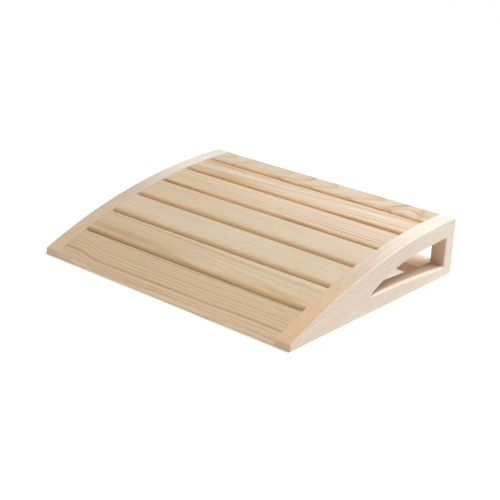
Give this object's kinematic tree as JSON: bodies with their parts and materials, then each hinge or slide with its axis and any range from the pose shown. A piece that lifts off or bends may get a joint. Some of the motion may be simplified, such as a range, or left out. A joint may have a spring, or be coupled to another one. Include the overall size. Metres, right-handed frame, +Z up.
{
  "type": "slant board",
  "caption": "Low wedge-shaped board for the feet: slats on a long arched slope between two side panels with hand openings.",
  "frame": {"origin": "on the floor, at the centre of the base rectangle", "axes": "+X from the left panel to the right panel, +Y from the low front edge to the high rear edge, +Z up"},
  "size_m": [0.4, 0.325, 0.075],
  "materials": {
    "pine_panel": "planed pine, sanded, unvarnished",
    "pine_slat": "planed pine, sanded, unvarnished",
    "beech_dowel": "fluted beech, untreated"
  },
  "bodies": {
    "root": {"nose_slat": "pine_slat", "nose_slat_dowels_left": "beech_dowel", "nose_slat_dowels_right": "beech_dowel", "rear_rail": "pine_slat", "rear_rail_dowels_left": "beech_dowel", "rear_rail_dowels_right": "beech_dowel", "side_panel_left": "pine_panel", "side_panel_right": "pine_panel", "slat_2": "pine_slat", "slat_2_dowels_left": "beech_dowel", "slat_2_dowels_right": "beech_dowel", "slat_3": "pine_slat", "slat_3_dowels_left": "beech_dowel", "slat_3_dowels_right": "beech_dowel", "slat_4": "pine_slat", "slat_4_dowels_left": "beech_dowel", "slat_4_dowels_right": "beech_dowel", "slat_5": "pine_slat", "slat_5_dowels_left": "beech_dowel", "slat_5_dowels_right": "beech_dowel", "slat_6": "pine_slat", "slat_6_dowels_left": "beech_dowel", "slat_6_dowels_right": "beech_dowel", "slat_7": "pine_slat", "slat_7_dowels_left": "beech_dowel", "slat_7_dowels_right": "beech_dowel"}
  },
  "joints": []
}
